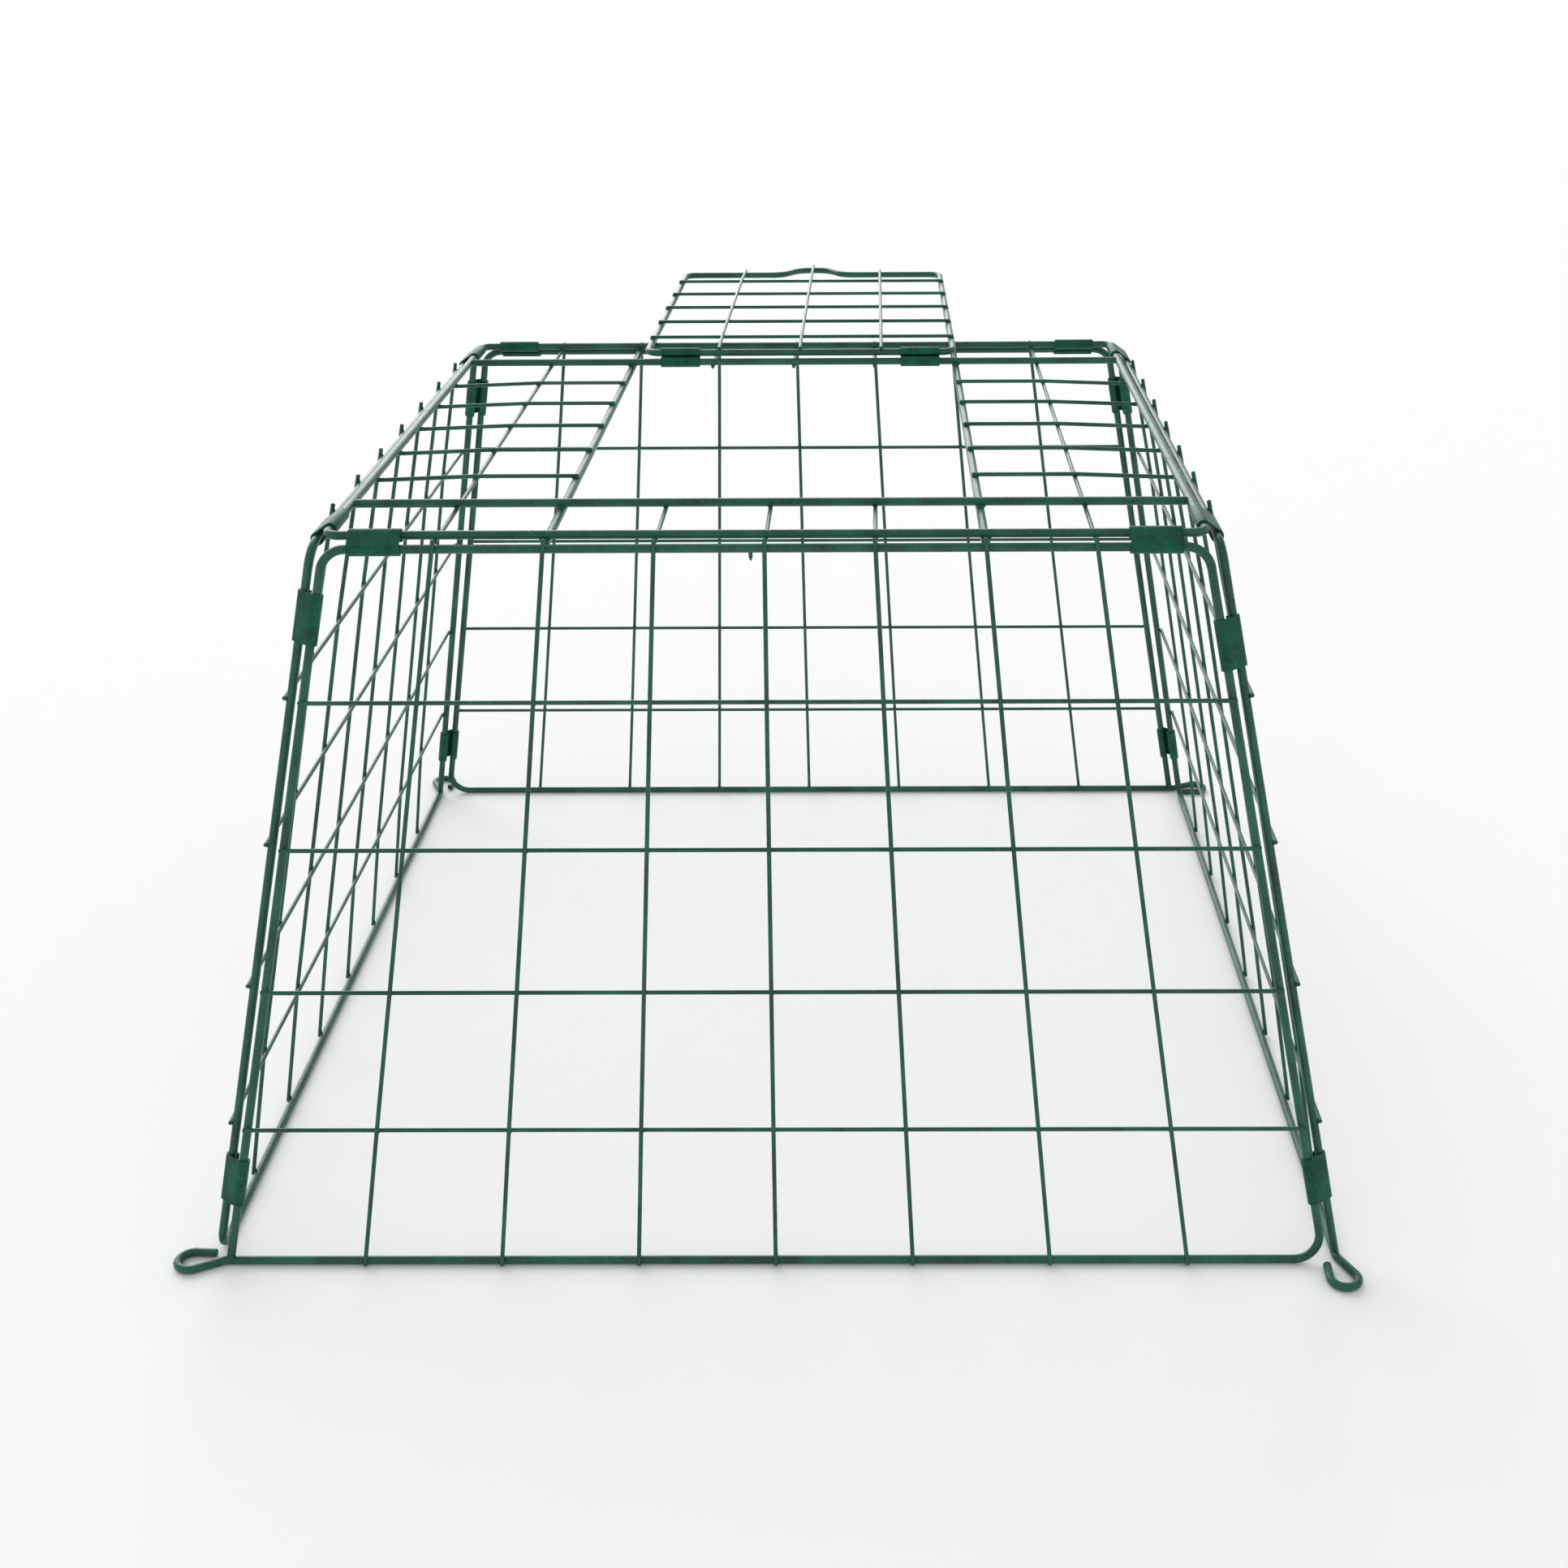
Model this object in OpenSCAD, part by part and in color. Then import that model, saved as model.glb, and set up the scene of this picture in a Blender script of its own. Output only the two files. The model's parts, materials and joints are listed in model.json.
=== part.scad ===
// Mesh cage for the ground: four leaning side panels and a mesh top, all bent and welded
// from coated wire, rolled together with sheet sleeves. A hatch door lies open behind it.
// Front is -Y, the ground is Z = 0 and the middle of the base is at X = Y = 0.

/* [Cage] */
// Width at the ground between the corner wires of a panel
base_w = 540; // [450:5:660]
// Width at the top between the corner wires of a panel
top_w = 400; // [320:5:500]
// Height of the side panels' top rails
top_rail_h = 346; // [260:1:450]
// How far the front and back panels stand outside the corner wires
front_step = 4.5; // [4.4:0.1:7]
// How far the left and right panels stand outside the corner wires
side_step = 6.6; // [4.4:0.1:7]

/* [Wire] */
// Diameter of the frame wire
frame_d = 4.1; // [3:0.1:5]
// Diameter of the mesh wire
mesh_d = 2.1; // [1.5:0.1:3]
// How deep two crossing wires are welded into each other
weld = 0.2; // [0.1:0.05:0.4]

/* [Side panels] */
// Mesh columns across a side panel
panel_cols = 8; // [5:1:12]
// Mesh rows up a side panel
panel_rows = 5; // [3:1:8]
// Bend radius at a panel's corners
panel_bend = 12; // [8:1:20]
// How far the upright mesh wires rise past the top rail's centre
panel_nub = 4.2; // [2.5:0.1:6]

/* [Top panel] */
// Mesh columns across the top
top_cols = 8; // [6:2:12]
// Mesh columns that the hatch is wide
hatch_cols = 4; // [2:2:6]
// Mesh rows that the hatch is long
hatch_rows = 6; // [4:1:6]
// How much narrower the top frame is, front and back, than the panels
top_inset = 2; // [0:0.5:4]
// Bend radius at the top frame's corners
top_bend = 6; // [5:0.5:15]
// Clear height between a panel's top rail and the top frame
seat_gap = 0.5; // [0.2:0.1:2]

/* [Hatch door] */
// Sideways shift of the door from the middle of the hatch
door_shift = 4; // [-6:0.5:6]
// Distance from the door's side bar to the hatch's side bar
door_margin = 5.5; // [5:0.5:12]
// Bend radius at the door's corners
door_bend = 8; // [6:0.5:15]
// Distance from the hinge bar to the first cross wire
door_first = 34; // [30:1:80]
// Distance from the last cross wire to the free bar
door_last = 43; // [10:1:50]
// How far the finger tab stands out from the free bar
tab_l = 20; // [16:1:35]
// Width of the finger tab at its root
tab_root_w = 46; // [40:1:60]
// Width of the finger tab at its crown
tab_crown_w = 20; // [18:1:34]
// Bend radius of the finger tab
tab_bend = 14; // [6:1:14]
// How far the open door hangs below level, in degrees
door_sag = 0.6; // [0:0.1:1]
// How far the closed door's tab lies past the middle of the front cross rail
tab_rest = 1; // [0:0.5:2]

/* [Hinge] */
// Distance between the rear cross rail and the door's hinge bar
hinge_span = 6; // [5.6:0.1:10]
// Clear height of the open door over the rear rail
door_clear = 0.3; // [0.2:0.1:1]
// Distance from the door's corner bend to the near end of a hinge sleeve
hinge_sleeve_in = 0.5; // [0.5:0.5:8]

/* [Sleeves] */
// Length of a sleeve
sleeve_l = 24; // [15:1:35]
// Thickness of the sleeve's sheet
sheet = 1; // [0.5:0.05:1.2]
// Radial clearance of a sleeve round its wire
sleeve_clear = 0.05; // [0.03:0.01:0.1]
// How far the rolled edge runs on past the inner side, in degrees
lip_turn = 50; // [20:5:60]
// Place of the upper corner sleeves, as a part of the panel's height
upper_at = 0.91; // [0.8:0.01:0.93]
// Place of the lower corner sleeves, as a part of the panel's height
lower_at = 0.12; // [0.08:0.01:0.16]
// How far one upper sleeve has slid down, as a part of the panel's height
slid = 0.037; // [0:0.001:0.05]
// Distance from the panel's corner to the near end of a top edge sleeve
edge_in = 11; // [11:0.5:28]

/* [Peg eyelets] */
// Radius of an eyelet at the wire's centre
eye_r = 6.8; // [6:0.1:9]
// Distance from the panel's corner to the eyelet's centre
eye_out = 19; // [19:0.5:28]
// Distance from the rail's line to the eyelet's centre, away from the cage
eye_side = 0.5; // [0:0.5:2]
// Angle at which the wire leaves the rail, in degrees
eye_lead = 26; // [24:1:35]
// Angle the wire wraps round the eyelet, in degrees
eye_wrap = 209; // [200:1:225]
// Straight length after the eyelet, up to the cut end
eye_tail = 9.5; // [2:0.5:9.5]
// Bend radius where the wire leaves the rail
eye_bend = 7; // [5:0.5:10]

/* [Hidden] */

wire_green = "#1f5a46";
sleeve_green = "#1d5244";
round_sides = 48;
bend_sides = 96;

frame_r = frame_d / 2;
mesh_r = mesh_d / 2;
// A bent wire is a touch fuller, so that each straight length ends inside its bends
swell = 0.05;
bite = 0.6;
// Distances between the centres of welded wires
frame_on_frame = frame_d - weld;
mesh_on_frame = frame_r + mesh_r - weld;
mesh_on_mesh = mesh_d - weld;
// A mesh wire is cut off this far past the middle of the wire it ends on
mesh_end = 1.2;

// Side panels
rail_z = frame_r + swell;
rise = top_rail_h - rail_z;
lean = atan((base_w - top_w) / 2 / rise);
slant = rise / cos(lean);
row_h = slant / panel_rows;
upright_foot = 1;

// Top panel
top_z = top_rail_h + frame_d + seat_gap;
top_half_x = top_w / 2;
top_half_y = top_w / 2 - top_inset;
cell = top_w / top_cols;
hatch_x = cell * hatch_cols / 2;
front_rail_y = -top_half_y;
front_cross_y = front_rail_y + cell;
rear_cross_y = front_cross_y + cell * hatch_rows;
low_bar_z = top_z - frame_on_frame;
low_wire_z = top_z - mesh_on_frame;
over_wire_z = low_wire_z + mesh_on_mesh;

// Hatch door, lying open behind the hatch
hinge_rise = frame_d + door_clear + (top_half_y - rear_cross_y) * sin(door_sag);
hinge_back = sqrt(hinge_span * hinge_span - hinge_rise * hinge_rise);
door_half = hatch_x - door_margin;
door_reach = rear_cross_y - hinge_back - front_cross_y + tab_rest;
door_l = door_reach - tab_l;
door_rows = 5;
door_pitch = (door_l - door_first - door_last) / (door_rows - 1);
// How far inside the side bars' outer edges the cross wires are cut off
door_wire_in = 1.2;
door_long_end = 3;

// Sleeves
roll_r = frame_r + sleeve_clear;
edge_sleeve_x = top_w / 2 - edge_in - sleeve_l / 2;
hinge_sleeve_x = door_half - door_bend - hinge_sleeve_in - sleeve_l / 2;

function unit(v) = v / norm(v);
function turn_at(a, p, b) = acos(unit(p - a) * unit(b - p));
function setback(a, p, b, bend_r) = bend_r * tan(turn_at(a, p, b) / 2);
function half_w(s) = (base_w - (base_w - top_w) * s / slant) / 2;
function panel_step(k) = k % 2 == 0 ? front_step : side_step;
// A point on panel k before it is turned into place: x to the right, s up the slope, n outward
function on_panel(k, x, s, n) = [
    x,
    -base_w / 2 - panel_step(k) + s * sin(lean) - n * cos(lean),
    rail_z + s * cos(lean) + n * sin(lean)
];

// Turns what is drawn along Z to run along d
module along(d) {
    rotate([0, acos(d.z / norm(d)), atan2(d.y, d.x)])
        children();
}

// A straight round wire from a to b
module rod(a, b, r) {
    translate(a)
        along(b - a)
            cylinder(r = r, h = norm(b - a), $fn = round_sides);
}

// The bend at p in a wire that runs from a to b
module bend(a, p, b, bend_r, r) {
    t = unit(p - a);
    n = unit(cross(t, unit(b - p)));
    m = cross(n, t);
    c = p - t * setback(a, p, b, bend_r) + m * bend_r;
    multmatrix([[-m.x, t.x, n.x, c.x], [-m.y, t.y, n.y, c.y], [-m.z, t.z, n.z, c.z], [0, 0, 0, 1]])
        rotate_extrude(angle = turn_at(a, p, b), $fn = bend_sides)
            translate([bend_r, 0])
                circle(r = r + swell, $fn = round_sides);
}

// The straight length from p to q, where cut_p and cut_q are left off for the bends
module straight(p, q, cut_p, cut_q, r) {
    t = unit(q - p);
    rod(p + t * cut_p, q - t * cut_q, r);
}

// A bent wire with open ends
module bent_wire(pts, bends, r) {
    last = len(pts) - 1;
    cuts = [for (i = [0:last])
        i == 0 || i == last ? 0 : setback(pts[i - 1], pts[i], pts[i + 1], bends[i]) - bite];
    for (i = [0:last - 1])
        straight(pts[i], pts[i + 1], cuts[i], cuts[i + 1], r);
    for (i = [1:last - 1])
        bend(pts[i - 1], pts[i], pts[i + 1], bends[i], r);
}

// A bent wire that closes on itself
module bent_loop(pts, bends, r) {
    n = len(pts);
    cuts = [for (i = [0:n - 1])
        setback(pts[(i + n - 1) % n], pts[i], pts[(i + 1) % n], bends[i]) - bite];
    for (i = [0:n - 1]) {
        straight(pts[i], pts[(i + 1) % n], cuts[i], cuts[(i + 1) % n], r);
        bend(pts[(i + n - 1) % n], pts[i], pts[(i + 1) % n], bends[i], r);
    }
}

// A wire with slight kinks, each a small ball that the straight lengths end in
module kinked_wire(pts, r) {
    last = len(pts) - 1;
    short = 0.1;
    for (i = [0:last - 1])
        straight(pts[i], pts[i + 1], i == 0 ? 0 : short, i + 1 == last ? 0 : short, r);
    for (i = [1:last - 1])
        translate(pts[i])
            along(pts[i + 1] - pts[i - 1])
                sphere(r = r + swell, $fn = round_sides);
}

// Section of a sleeve over two wires a span apart: flat back above, rolled edges below
module sleeve_section(span) {
    far = 8;
    translate([-span / 2, roll_r])
        square([span, sheet]);
    for (side = [-1, 1])
        translate([side * span / 2, 0])
            intersection() {
                difference() {
                    circle(r = roll_r + sheet, $fn = round_sides);
                    circle(r = roll_r, $fn = round_sides);
                }
                polygon([
                    [0, 0],
                    [0, far],
                    [side * far, far],
                    [side * far, -far],
                    [-side * far, -far],
                    [-side * far, -far / tan(lip_turn)]
                ]);
            }
}

// A sleeve over wires through p and q that run along the given direction
module sleeve(p, q, lengthwise) {
    a = unit(lengthwise);
    across = (q - p) - a * ((q - p) * a);
    // To the nearest hundredth, so that the back meets both rolls
    span = round(norm(across) * 100) / 100;
    u = unit(across);
    v = cross(a, u);
    c = (p + q) / 2;
    color(sleeve_green)
        multmatrix([[u.x, v.x, a.x, c.x], [u.y, v.y, a.y, c.y], [u.z, v.z, a.z, c.z], [0, 0, 0, 1]])
            linear_extrude(sleeve_l, center = true)
                sleeve_section(span);
}

// Panel k is the front panel turned k quarter turns
module turned(k) {
    rotate([0, 0, 90 * k])
        children();
}

// One wire makes the eyelet, the bottom rail, both uprights and the top rail
module panel_frame(k) {
    rail_y = -base_w / 2 - panel_step(k);
    eye = [-base_w / 2 - eye_out, rail_y - eye_side, rail_z];
    in_a = eye_lead - 90;
    out_a = in_a - eye_wrap;
    eye_in = eye + eye_r * [cos(in_a), sin(in_a), 0];
    eye_in_dir = [-sin(in_a), cos(in_a), 0];
    eye_tip = eye + eye_r * [cos(out_a), sin(out_a), 0];
    eye_tip_dir = [sin(out_a), -cos(out_a), 0];
    lead = eye_in + eye_in_dir * (rail_y - eye_in.y) / eye_in_dir.y;
    color(wire_green)
        turned(k)
            union() {
                straight(eye_tip, eye_tip + eye_tip_dir * eye_tail, -bite, 0, frame_r);
                translate(eye)
                    rotate([0, 0, out_a])
                        rotate_extrude(angle = eye_wrap, $fn = bend_sides)
                            translate([eye_r, 0])
                                circle(r = frame_r + swell, $fn = round_sides);
                bent_wire(
                    [
                        eye_in - eye_in_dir * bite,
                        lead,
                        on_panel(k, half_w(0), 0, 0),
                        on_panel(k, half_w(slant), slant, 0),
                        on_panel(k, -half_w(slant), slant, 0),
                        on_panel(k, -half_w(upright_foot), upright_foot, 0)
                    ],
                    [0, eye_bend, panel_bend, panel_bend, panel_bend, 0],
                    frame_r
                );
            }
}

// Upright mesh wires lie outside the cross wires and come in to the rails at both ends
module upright_wires(k) {
    out_n = mesh_on_frame + mesh_on_mesh;
    color(wire_green)
        turned(k)
            for (i = [1:panel_cols - 1]) {
                f = 2 * i / panel_cols - 1;
                kinked_wire(
                    [
                        on_panel(k, f * half_w(-mesh_end), -mesh_end, mesh_on_frame),
                        on_panel(k, f * half_w(row_h), row_h, out_n),
                        on_panel(k, f * half_w(slant - row_h), slant - row_h, out_n),
                        on_panel(k, f * half_w(slant + panel_nub), slant + panel_nub, mesh_on_frame)
                    ],
                    mesh_r
                );
            }
}

module panel_cross_wires(k) {
    color(wire_green)
        turned(k)
            for (j = [1:panel_rows - 1]) {
                w = half_w(j * row_h) + mesh_end;
                rod(on_panel(k, -w, j * row_h, mesh_on_frame), on_panel(k, w, j * row_h, mesh_on_frame), mesh_r);
            }
}

module top_frame() {
    color(wire_green)
        bent_loop(
            [
                [-top_half_x, -top_half_y, top_z],
                [top_half_x, -top_half_y, top_z],
                [top_half_x, top_half_y, top_z],
                [-top_half_x, top_half_y, top_z]
            ],
            [top_bend, top_bend, top_bend, top_bend],
            frame_r
        );
}

module cross_rail(y) {
    w = top_half_x - frame_r + weld;
    color(wire_green)
        rod([-w, y, top_z], [w, y, top_z], frame_r);
}

module hatch_bar(side) {
    l = top_half_y + frame_r;
    color(wire_green)
        rod([side * hatch_x, -l, low_bar_z], [side * hatch_x, l, low_bar_z], frame_r);
}

// From under the frame, over the long wire, to the top of the hatch bar
module strip_wires(side) {
    color(wire_green)
        for (j = [1:hatch_rows - 1]) {
            y = front_cross_y + j * cell;
            kinked_wire(
                [
                    [side * (top_half_x + mesh_end), y, low_wire_z],
                    [side * (top_half_x - cell), y, over_wire_z],
                    [side * (hatch_x - mesh_end), y, low_bar_z + mesh_on_frame]
                ],
                mesh_r
            );
        }
}

module long_wire(side) {
    x = side * (top_half_x - cell);
    l = top_half_y + mesh_end;
    color(wire_green)
        rod([x, -l, low_wire_z], [x, l, low_wire_z], mesh_r);
}

module stub_wires(from_y, to_y) {
    color(wire_green)
        for (i = [1 - hatch_cols / 2:hatch_cols / 2 - 1])
            rod([i * cell, from_y - mesh_end, low_wire_z], [i * cell, to_y + mesh_end, low_wire_z], mesh_r);
}

// Corner k has panel k's left upright and the right upright of the panel before it
module corner_sleeve(k, at) {
    s = slant * at;
    own = on_panel(k, -half_w(s), s, 0);
    far = [-half_w(s) - panel_step(k + 1), own.y + panel_step(k), own.z];
    turned(k)
        sleeve(own, far, [(base_w - top_w) / 2, (base_w - top_w) / 2, rise]);
}

// Joins panel k's top rail to the top frame at x along the panel
module edge_sleeve(k, x) {
    reach = k % 2 == 0 ? top_half_y : top_half_x;
    turned(k)
        sleeve([x, -top_w / 2 - panel_step(k), top_rail_h], [x, -reach, top_z], [1, 0, 0]);
}

// Joins the door's hinge bar to the rear cross rail
module hinge_sleeve(side) {
    x = door_shift + side * hinge_sleeve_x;
    sleeve(
        [x, rear_cross_y, top_z],
        [x, rear_cross_y + hinge_back, top_z + hinge_rise],
        [-1, 0, 0]
    );
}

// The door is drawn with its hinge bar on the X axis and lifted into place
module door_place() {
    translate([door_shift, rear_cross_y + hinge_back, top_z + hinge_rise])
        rotate([-door_sag, 0, 0])
            children();
}

module door_frame() {
    root = tab_root_w / 2;
    crown = tab_crown_w / 2;
    color(wire_green)
        door_place()
            bent_loop(
                [
                    [-door_half, 0, 0],
                    [door_half, 0, 0],
                    [door_half, door_l, 0],
                    [root, door_l, 0],
                    [crown, door_reach, 0],
                    [-crown, door_reach, 0],
                    [-root, door_l, 0],
                    [-door_half, door_l, 0]
                ],
                [door_bend, door_bend, door_bend, tab_bend, tab_bend, tab_bend, tab_bend, door_bend],
                frame_r
            );
}

module door_cross_wires() {
    w = door_half + frame_r - door_wire_in;
    color(wire_green)
        door_place()
            for (j = [0:door_rows - 1]) {
                y = door_first + j * door_pitch;
                rod([-w, y, mesh_on_frame], [w, y, mesh_on_frame], mesh_r);
            }
}

// Long wires lie over the cross wires and come down to the bars at both ends
module door_long_wires() {
    over = mesh_on_frame + mesh_on_mesh;
    color(wire_green)
        door_place()
            for (i = [-1:1])
                kinked_wire(
                    [
                        [i * cell, -mesh_r, mesh_on_frame],
                        [i * cell, door_first, over],
                        [i * cell, door_l - door_last, over],
                        [i * cell, (i == 0 ? door_reach : door_l) + door_long_end, mesh_on_frame]
                    ],
                    mesh_r
                );
}

panel_frame(0);  // front_frame
panel_frame(1);  // right_frame
panel_frame(2);  // back_frame
panel_frame(3);  // left_frame
upright_wires(0);  // front_upright_wires
upright_wires(1);  // right_upright_wires
upright_wires(2);  // back_upright_wires
upright_wires(3);  // left_upright_wires
panel_cross_wires(0);  // front_cross_wires
panel_cross_wires(1);  // right_cross_wires
panel_cross_wires(2);  // back_cross_wires
panel_cross_wires(3);  // left_cross_wires
top_frame();
cross_rail(front_cross_y);  // front_cross_rail
cross_rail(rear_cross_y);  // rear_cross_rail
hatch_bar(-1);  // left_hatch_bar
hatch_bar(1);  // right_hatch_bar
strip_wires(-1);  // left_strip_wires
strip_wires(1);  // right_strip_wires
long_wire(-1);  // left_long_wire
long_wire(1);  // right_long_wire
stub_wires(front_rail_y, front_cross_y);  // front_stub_wires
stub_wires(rear_cross_y, top_half_y);  // rear_stub_wires
corner_sleeve(0, upper_at);  // front_left_upper_sleeve
corner_sleeve(0, lower_at);  // front_left_lower_sleeve
corner_sleeve(1, upper_at - slid);  // front_right_upper_sleeve
corner_sleeve(1, lower_at);  // front_right_lower_sleeve
corner_sleeve(2, upper_at);  // back_right_upper_sleeve
corner_sleeve(2, lower_at);  // back_right_lower_sleeve
corner_sleeve(3, upper_at);  // back_left_upper_sleeve
corner_sleeve(3, lower_at);  // back_left_lower_sleeve
edge_sleeve(0, -edge_sleeve_x);  // front_edge_left_sleeve
edge_sleeve(0, edge_sleeve_x);  // front_edge_right_sleeve
edge_sleeve(1, -edge_sleeve_x);  // right_edge_front_sleeve
edge_sleeve(1, edge_sleeve_x);  // right_edge_back_sleeve
edge_sleeve(2, -edge_sleeve_x);  // back_edge_right_sleeve
edge_sleeve(2, edge_sleeve_x);  // back_edge_left_sleeve
edge_sleeve(3, -edge_sleeve_x);  // left_edge_back_sleeve
edge_sleeve(3, edge_sleeve_x);  // left_edge_front_sleeve
hinge_sleeve(-1);  // left_hinge_sleeve
hinge_sleeve(1);  // right_hinge_sleeve
door_frame();
door_cross_wires();
door_long_wires();
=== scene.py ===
import bpy, bmesh, json, math, random
from mathutils import Vector, Matrix
from mathutils.geometry import intersect_line_line


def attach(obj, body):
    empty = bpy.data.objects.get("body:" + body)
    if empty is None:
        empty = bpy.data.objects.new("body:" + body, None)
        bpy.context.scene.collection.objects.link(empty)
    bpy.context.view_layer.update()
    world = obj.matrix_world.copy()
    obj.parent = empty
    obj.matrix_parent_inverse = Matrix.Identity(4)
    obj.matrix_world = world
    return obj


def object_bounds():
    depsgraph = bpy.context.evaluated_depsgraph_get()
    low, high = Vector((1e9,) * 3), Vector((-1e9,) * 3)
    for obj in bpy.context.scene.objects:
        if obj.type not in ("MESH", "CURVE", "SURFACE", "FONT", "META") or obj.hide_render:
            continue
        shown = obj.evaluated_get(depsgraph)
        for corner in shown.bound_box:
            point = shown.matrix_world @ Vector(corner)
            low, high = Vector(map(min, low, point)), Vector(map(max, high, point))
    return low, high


# Green coated mesh cage with its hatch door lying open behind it
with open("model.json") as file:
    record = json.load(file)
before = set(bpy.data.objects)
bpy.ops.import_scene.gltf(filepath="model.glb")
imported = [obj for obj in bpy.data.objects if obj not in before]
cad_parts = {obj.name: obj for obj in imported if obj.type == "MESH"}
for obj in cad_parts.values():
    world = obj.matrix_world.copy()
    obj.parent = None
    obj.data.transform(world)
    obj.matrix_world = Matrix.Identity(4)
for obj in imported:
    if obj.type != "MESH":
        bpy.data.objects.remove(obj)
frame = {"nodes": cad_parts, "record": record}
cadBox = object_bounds()
nodes = frame["nodes"]
print("frame loaded:", len(nodes), "parts")

random.seed(4)
mm = 0.001


def hexLinear(code):  # sRGB hex to the linear colour that shaders take
    parts = [int(code[i:i + 2], 16) / 255 for i in (1, 3, 5)]
    return tuple([c / 12.92 if c <= 0.04045 else ((c + 0.055) / 1.055) ** 2.4 for c in parts] + [1.0])


def addNode(tree, kind, settings=None, links=None):
    node = tree.nodes.new(kind)
    for name, value in (settings or {}).items():
        if name in node.inputs:
            node.inputs[name].default_value = value
        else:
            setattr(node, name, value)
    for name, source in (links or {}).items():
        tree.links.new(source, node.inputs[name])
    return node


# Camera a little above and in front, looking down on the cage
view = {
    "place": (0.0495, -1.0420, 0.6172),  # metres
    "pitch": -25.094,  # degrees, looking down
    "yaw": 0.393,
    "roll": -0.320,
    "lens": 44.435,  # mm, on a sensor 36 mm wide
    "sensor": 36,
    "shiftX": -0.0504,
    "shiftY": 0.0042,
}


def buildCamera(v):
    turn = Matrix.Rotation(math.radians(v["yaw"]), 3, "Z")
    turn = turn @ Matrix.Rotation(math.radians(v["pitch"]), 3, "X")
    ahead, right, up = (turn @ Vector(a) for a in ((0, 1, 0), (1, 0, 0), (0, 0, 1)))
    c, s = math.cos(math.radians(v["roll"])), math.sin(math.radians(v["roll"]))
    right, up = right * c + up * s, up * c - right * s
    camera = bpy.data.objects.new("camera", bpy.data.cameras.new("camera"))
    camera.matrix_world = Matrix((right, up, -ahead)).transposed().to_4x4()
    camera.matrix_world.translation = Vector(v["place"])
    camera.data.sensor_width = v["sensor"]
    camera.data.lens = v["lens"]
    camera.data.shift_x = v["shiftX"]
    camera.data.shift_y = v["shiftY"]
    camera.data.clip_end = 100
    camera.data.dof.use_dof = False
    bpy.context.scene.collection.objects.link(camera)
    bpy.context.scene.camera = camera


buildCamera(view)

studio = {
    "floor": "#f7f8f7",
    "floorSize": 60,  # metres
    "floorGap": 0.2,  # mm, under the lowest wires
    "horizon": 1.0,  # brightness of the backdrop, as pale as the floor
    "horizonTop": 0.22,  # height in the sky where the backdrop starts to fade
    "overhead": 0.68,  # brightness of the room above
    "overheadFrom": 0.45,
    "bounce": {"from": (-0.40, 1.0, 0.55), "spread": 60, "strength": 2.2},  # low and behind
}


def whitePanel(name, panel):
    light = bpy.data.objects.new(name, bpy.data.lights.new(name, "SUN"))
    light.data.energy = panel["strength"]
    light.data.angle = math.radians(panel["spread"])
    light.location = panel["from"]
    light.rotation_euler = (-Vector(panel["from"])).to_track_quat("-Z", "Y").to_euler()
    bpy.context.scene.collection.objects.link(light)


def buildStudio(s):
    world = bpy.data.worlds.new("studio")
    world.use_nodes = True
    tree = world.node_tree
    around = addNode(tree, "ShaderNodeTexCoord").outputs["Generated"]
    height = addNode(tree, "ShaderNodeSeparateXYZ", links={"Vector": around})
    level = addNode(tree, "ShaderNodeMapRange", {
        "From Min": s["horizonTop"], "From Max": s["overheadFrom"],
        "To Min": s["horizon"], "To Max": s["overhead"],
    }, {"Value": height.outputs["Z"]})
    glow = tree.nodes["Background"]
    glow.inputs["Color"].default_value = (1, 1, 1, 1)
    tree.links.new(level.outputs["Result"], glow.inputs["Strength"])
    bpy.context.scene.world = world
    whitePanel("whitePanel", s["bounce"])
    half = s["floorSize"] / 2
    mesh = bpy.data.meshes.new("floor")
    corners = [(-half, -half, 0), (half, -half, 0), (half, half, 0), (-half, half, 0)]
    mesh.from_pydata(corners, [], [(0, 1, 2, 3)])
    floor = bpy.data.objects.new("floor", mesh)
    floor.location.z = cadBox[0].z - s["floorGap"] * mm
    bpy.context.scene.collection.objects.link(floor)
    paper = bpy.data.materials.new("mattePaper")  # plain studio paper, no sheen
    paper.use_nodes = True
    shader = paper.node_tree.nodes["Principled BSDF"]
    shader.inputs["Base Color"].default_value = hexLinear(s["floor"])
    shader.inputs["Roughness"].default_value = 0.9
    shader.inputs["Specular IOR Level"].default_value = 0.1
    mesh.materials.append(paper)
    bpy.context.scene.view_settings.view_transform = "Standard"


buildStudio(studio)
print("camera and studio ready")


# Polyester powder coat baked over galvanised steel: one deep green, with soft ripples in its gloss
wireCoat = {
    "green": "#0c4c38",
    "lighter": "#125b44",
    "darker": "#083d2c",
    "roughness": 0.34,
    "gloss": 0.4,
    "grain": 0.4,
    "peel": 1.6,  # mm, width of the ripples that the coating sets with
    "mottle": 22,  # mm, size of the slow changes in tone
    "rub": "#236a53",  # paler where the coat is thin or rubbed
    "fleck": 1.8,  # mm
}
sleeveCoat = {
    "green": "#064a3a",
    "lighter": "#0a5746",
    "darker": "#043c30",
    "roughness": 0.44,
    "gloss": 0.2,
    "grain": 0.75,  # how strongly the baked surface breaks up the light
    "peel": 0.9,
    "mottle": 9,
    "rub": "#17705a",
    "fleck": 1.1,
}
coatPattern = {  # shared by both
    "darkest": 0.32,  # of the slow noise, where the darker tone is full
    "lightest": 0.68,
    "rubFrom": 0.52,  # of the fleck noise, where rubbing starts to show
    "rubFull": 0.75,
    "rubMost": 0.6,
    "shinier": 0.06,  # how far the ripples move the roughness, each way
    "duller": 0.08,
    "depth": 0.1,  # mm, of a ripple
}


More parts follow.
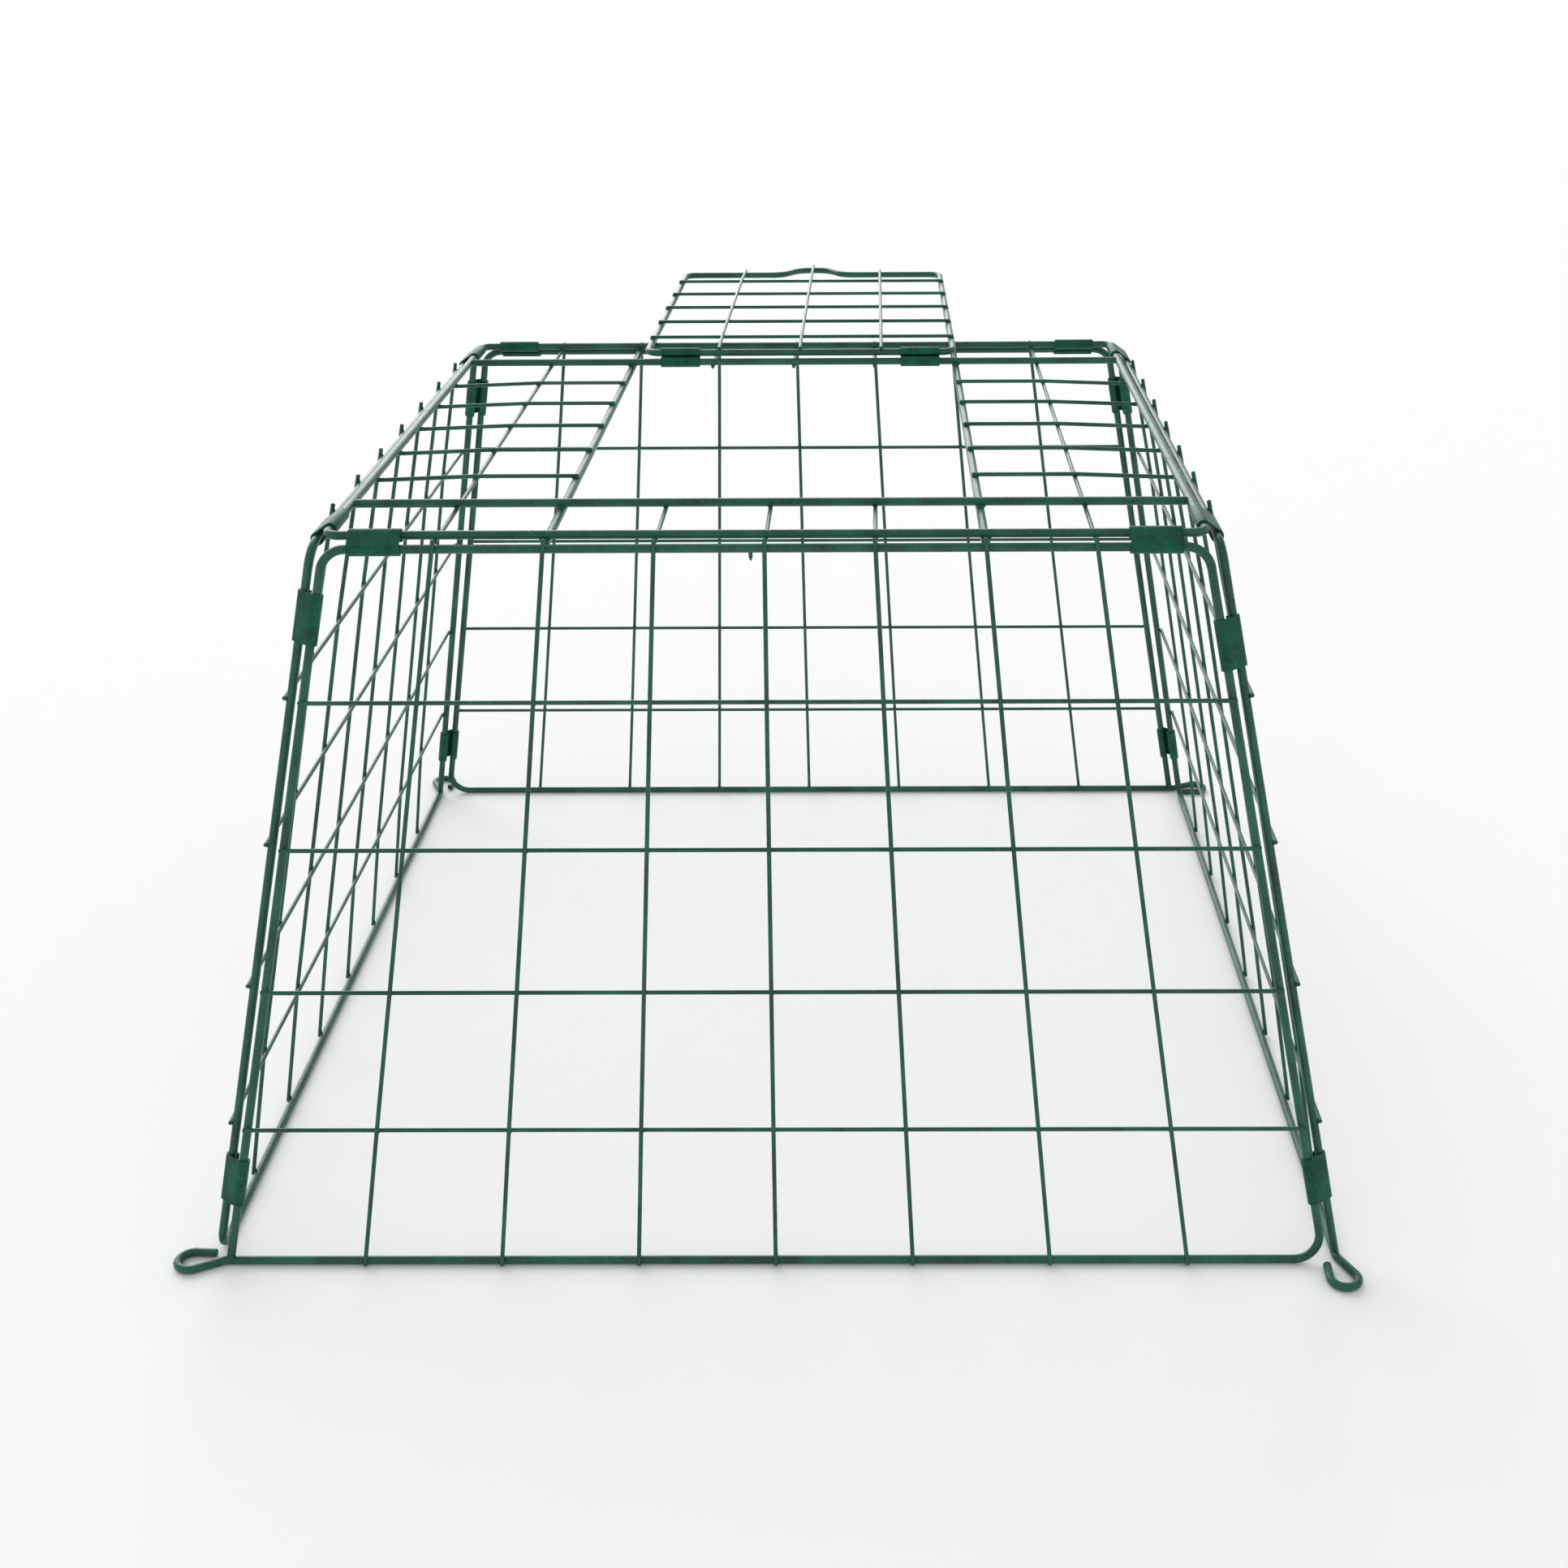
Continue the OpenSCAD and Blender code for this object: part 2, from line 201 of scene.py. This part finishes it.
def coatedSteel(name, c):
    pattern = coatPattern
    material = bpy.data.materials.new(name)
    material.use_nodes = True
    tree = material.node_tree
    shader = tree.nodes["Principled BSDF"]
    shader.inputs["IOR"].default_value = 1.5
    shader.inputs["Specular IOR Level"].default_value = c["gloss"]
    place = addNode(tree, "ShaderNodeTexCoord").outputs["Object"]
    slow = addNode(tree, "ShaderNodeTexNoise", {
        "Scale": 1 / (c["mottle"] * mm), "Detail": 2.0,
    }, {"Vector": place})
    tone = addNode(tree, "ShaderNodeValToRGB", links={"Fac": slow.outputs["Fac"]})
    ramp = tone.color_ramp
    dark, light = ramp.elements
    dark.position, dark.color = pattern["darkest"], hexLinear(c["darker"])
    light.position, light.color = pattern["lightest"], hexLinear(c["lighter"])
    ramp.elements.new(0.5).color = hexLinear(c["green"])
    # Small paler flecks, where wires were bundled and rubbed against each other
    fleck = addNode(tree, "ShaderNodeTexNoise", {
        "Scale": 1 / (c["fleck"] * mm), "Detail": 3.0,
    }, {"Vector": place})
    rubbed = addNode(tree, "ShaderNodeMapRange", {
        "From Min": pattern["rubFrom"], "From Max": pattern["rubFull"],
        "To Min": 0.0, "To Max": pattern["rubMost"],
    }, {"Value": fleck.outputs["Fac"]})
    skin = addNode(tree, "ShaderNodeMix", {"data_type": "RGBA"})
    tree.links.new(rubbed.outputs["Result"], skin.inputs[0])
    tree.links.new(tone.outputs["Color"], skin.inputs[6])
    skin.inputs[7].default_value = hexLinear(c["rub"])
    tree.links.new(skin.outputs[2], shader.inputs["Base Color"])
    ripple = addNode(tree, "ShaderNodeTexNoise", {
        "Scale": 1 / (c["peel"] * mm), "Detail": 3.0,
    }, {"Vector": place})
    sheen = addNode(tree, "ShaderNodeMapRange", {
        "From Min": 0.3, "From Max": 0.7,
        "To Min": c["roughness"] - pattern["shinier"], "To Max": c["roughness"] + pattern["duller"],
    }, {"Value": ripple.outputs["Fac"]})
    tree.links.new(sheen.outputs["Result"], shader.inputs["Roughness"])
    bump = addNode(tree, "ShaderNodeBump", {
        "Strength": c["grain"], "Distance": pattern["depth"] * mm,
    }, {"Height": ripple.outputs["Fac"]})
    tree.links.new(bump.outputs["Normal"], shader.inputs["Normal"])
    return material


coatedWire = coatedSteel("powderCoatedSteelWire", wireCoat)
coatedSheet = coatedSteel("powderCoatedSteelSheet", sleeveCoat)

sleeveEdge = {
    "join": 0.002,  # mm, closes the split edges of the solid first
    "round": 0.16,  # mm, how much the coating rounds a cut edge
    "steps": 3,
    "angle": 40,  # degrees, sharper edges than this are rounded
}


def roundEdges(part, e):
    weld = part.modifiers.new("closeSkin", "WELD")
    weld.merge_threshold = e["join"] * mm
    soft = part.modifiers.new("coatedEdges", "BEVEL")
    soft.width = e["round"] * mm
    soft.segments = e["steps"]
    soft.limit_method = "ANGLE"
    soft.angle_limit = math.radians(e["angle"])
    soft.use_clamp_overlap = True


for name, part in nodes.items():
    part.data.materials.clear()
    if "sleeve" in name:
        part.data.materials.append(coatedSheet)
        roundEdges(part, sleeveEdge)
    else:
        part.data.materials.append(coatedWire)
print("materials on the parts")

# Straight lengths of wire, found from the long edges of each part's own mesh
lengths = {
    "shortest": 9,  # mm, edges shorter than this belong to bends
    "near": 7,  # mm, edges of one length have their middles this close
    "parallel": 0.998,  # cosine
}


def bodyOf(name):
    for body, names in frame["record"]["behaviour"]["bodies"].items():
        if name in names:
            return body


def straightLengths(name, part):
    verts = part.data.vertices
    groups = []
    for edge in part.data.edges:
        a, b = (verts[i].co for i in edge.vertices)
        if (b - a).length < lengths["shortest"] * mm:
            continue
        run, middle = (b - a).normalized(), (a + b) / 2
        for g in groups:
            close = (g["middle"] - middle).length < lengths["near"] * mm
            if close and abs(g["run"].dot(run)) > lengths["parallel"]:
                g["ends"] += [a, b]
                break
        else:
            groups.append({"run": run, "middle": middle, "ends": [a, b]})
    found = []
    for g in groups:
        centre = sum(g["ends"], Vector()) / len(g["ends"])
        first = [p for p in g["ends"] if (p - centre).dot(g["run"]) < 0]
        last = [p for p in g["ends"] if (p - centre).dot(g["run"]) >= 0]
        p, q = sum(first, Vector()) / len(first), sum(last, Vector()) / len(last)
        radius = sum((v - p).length for v in first) / len(first)
        found.append({"node": name, "body": bodyOf(name), "p": p, "q": q, "r": radius})
    return found


wires = []
for name, part in nodes.items():
    if "sleeve" not in name:
        wires += straightLengths(name, part)
print("straight lengths of wire:", len(wires))

# Where two welded wires cross, the melt and the coating fill the nook between them
weldFill = {
    "overlap": 0.08,  # mm, wires closer than touching by this are welded
    "deepest": 0.2,  # of touching, wires closer than this are one and the same
    "past": 2.5,  # mm, how far past a wire's end it still counts as crossing
    "reach": 1.28,  # of the other wire's radius, how far the fill spreads along a wire
    "widest": 1.5,  # of the thinner wire's radius, a fill spreads no further
    "depth": 0.62,  # of the thinner wire's radius, half the fill's thickness
    "uneven": 0.10,
    "square": 0.8,  # below 1 the fill reaches into the four nooks
    "around": 14,
    "up": 7,
}


def nearestPoints(a, b):
    hit = intersect_line_line(a["p"], a["q"], b["p"], b["q"])
    if hit is None:
        return None
    ends = []
    for point, wire in zip(hit, (a, b)):
        run = wire["q"] - wire["p"]
        t = (point - wire["p"]).dot(run) / run.length_squared
        slack = weldFill["past"] * mm / run.length
        if t < -slack or t > 1 + slack:
            return None
        ends.append(point)
    return ends


def squashedBall(mesh, centre, axes, sizes, form):
    rings = []
    quarters = 4
    lumps = [1 + random.uniform(-form["uneven"], form["uneven"]) for _ in range(quarters)]
    for j in range(1, form["up"]):
        polar = math.pi * j / form["up"]
        ring = []
        for i in range(form["around"]):
            turn = 2 * math.pi * i / form["around"]
            wave = 1 + (lumps[i * quarters // form["around"]] - 1) * math.sin(polar)
            wide = math.sin(polar) * wave
            c, s = math.cos(turn), math.sin(turn)
            x = math.copysign(abs(c) ** form["square"], c) * sizes[0] * wide
            y = math.copysign(abs(s) ** form["square"], s) * sizes[1] * wide
            z = math.cos(polar) * sizes[2]
            ring.append(mesh.verts.new(centre + axes[0] * x + axes[1] * y + axes[2] * z))
        rings.append(ring)
    top = mesh.verts.new(centre + axes[2] * sizes[2])
    low = mesh.verts.new(centre - axes[2] * sizes[2])
    n = form["around"]
    for i in range(n):
        mesh.faces.new((top, rings[0][i], rings[0][(i + 1) % n]))
        mesh.faces.new((low, rings[-1][(i + 1) % n], rings[-1][i]))
        for upper, lower in zip(rings, rings[1:]):
            mesh.faces.new((upper[i], lower[i], lower[(i + 1) % n], upper[(i + 1) % n]))


def finishPiece(name, mesh, body):
    bmesh.ops.recalc_face_normals(mesh, faces=mesh.faces)
    data = bpy.data.meshes.new(name)
    mesh.to_mesh(data)
    mesh.free()
    data.materials.append(coatedWire)
    for face in data.polygons:
        face.use_smooth = True
    piece = bpy.data.objects.new(name, data)
    bpy.context.scene.collection.objects.link(piece)
    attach(piece, body)


def buildWelds(body, w):
    mesh = bmesh.new()
    own = [wire for wire in wires if wire["body"] == body]
    count = 0
    for i, a in enumerate(own):
        for b in own[i + 1:]:
            if a["node"] == b["node"]:
                continue
            near = nearestPoints(a, b)
            if near is None:
                continue
            gap = near[1] - near[0]
            touch = a["r"] + b["r"]
            if not w["deepest"] * touch < gap.length < touch - w["overlap"] * mm:
                continue
            up = gap.normalized()
            along = (a["q"] - a["p"]).normalized()
            across = up.cross(along).normalized()
            centre = near[0] + gap * (a["r"] / touch)
            thin = min(a["r"], b["r"])
            sizes = [min(wire["r"], w["widest"] * thin) * w["reach"] for wire in (b, a)]
            sizes.append(thin * w["depth"])
            squashedBall(mesh, centre, (along, across, up), sizes, w)
            count += 1
    print("welds on", body + ":", count)
    finishPiece(body + "WeldFill", mesh, body)


# Cut ends are rounded over by the coating
endCap = {
    "bulge": 0.55,  # of the wire's radius
    "snug": 0.995,  # of the wire's radius, so that the dome doesn't stand proud
    "joined": 2.4,  # mm, ends closer than this belong to one bent wire
    "uneven": 0,
    "square": 1.0,  # a plain ellipse
    "around": 16,
    "up": 6,
}


def domeOn(mesh, wire, end, other, e):
    run = (end - other).normalized()
    side = run.orthogonal().normalized()
    sizes = (wire["r"] * e["snug"], wire["r"] * e["snug"], wire["r"] * e["bulge"])
    squashedBall(mesh, end, (side, run.cross(side), run), sizes, e)


def buildEndCaps(body, e):
    mesh = bmesh.new()
    own = [w for w in wires if w["body"] == body and not w["node"].endswith("frame")]
    count = 0
    for wire in own:
        others = [w for w in own if w["node"] == wire["node"] and w is not wire]
        for end, other in ((wire["p"], wire["q"]), (wire["q"], wire["p"])):
            if any((v - end).length < e["joined"] * mm for w in others for v in (w["p"], w["q"])):
                continue  # the wire goes on in another length
            domeOn(mesh, wire, end, other, e)
            count += 1
    # A panel's frame wire ends in the short straight tail of its eyelet
    for name in ("front_frame", "right_frame", "back_frame", "left_frame"):
        if bodyOf(name) != body:
            continue
        tail = min((w for w in wires if w["node"] == name), key=lambda w: (w["q"] - w["p"]).length)
        end, other = sorted((tail["p"], tail["q"]), key=lambda v: v.xy.length)
        domeOn(mesh, tail, end, other, e)
        count += 1
    print("cut ends on", body + ":", count)
    finishPiece(body + "CutEnds", mesh, body)


for body in ("cage", "door"):
    buildWelds(body, weldFill)
    buildEndCaps(body, endCap)

# One small run of coating that set under the front panel's top rail
coatDrip = {
    "along": -6.5,  # mm from the middle
    "start": 3.2,  # mm below the panel's top, inside the rail
    "length": 5.0,  # mm
    "width": 1.5,  # mm
    "root": 1.35,  # of the width where it leaves the rail
    "taper": 0.9,  # of the width lost by the tip
    "bead": 0.85,  # of the width gained where it gathered
    "tip": 0.25,  # of the tip's width, so that it closes
    "rings": 9,
    "around": 12,
}


def buildDrip(d):
    top = max((v.co for v in nodes["front_frame"].data.vertices), key=lambda c: c.z)
    mesh = bmesh.new()
    rings = []
    for j in range(d["rings"]):
        t = j / (d["rings"] - 1)
        swell = d["root"] - d["taper"] * t + d["bead"] * math.sin(math.pi * t) ** 2 * t
        radius = d["width"] / 2 * mm * swell * (1 if t < 1 else d["tip"])
        z = top.z - (d["start"] + d["length"] * t) * mm
        ring = []
        for i in range(d["around"]):
            turn = 2 * math.pi * i / d["around"]
            x, y = d["along"] * mm + radius * math.cos(turn), top.y + radius * math.sin(turn)
            ring.append(mesh.verts.new((x, y, z)))
        rings.append(ring)
    for upper, lower in zip(rings, rings[1:]):
        for i in range(d["around"]):
            k = (i + 1) % d["around"]
            mesh.faces.new((upper[i], lower[i], lower[k], upper[k]))
    mesh.faces.new(rings[0])
    mesh.faces.new(rings[-1])
    finishPiece("coatingRun", mesh, "cage")


buildDrip(coatDrip)
print("welds, cut ends and coating run built")
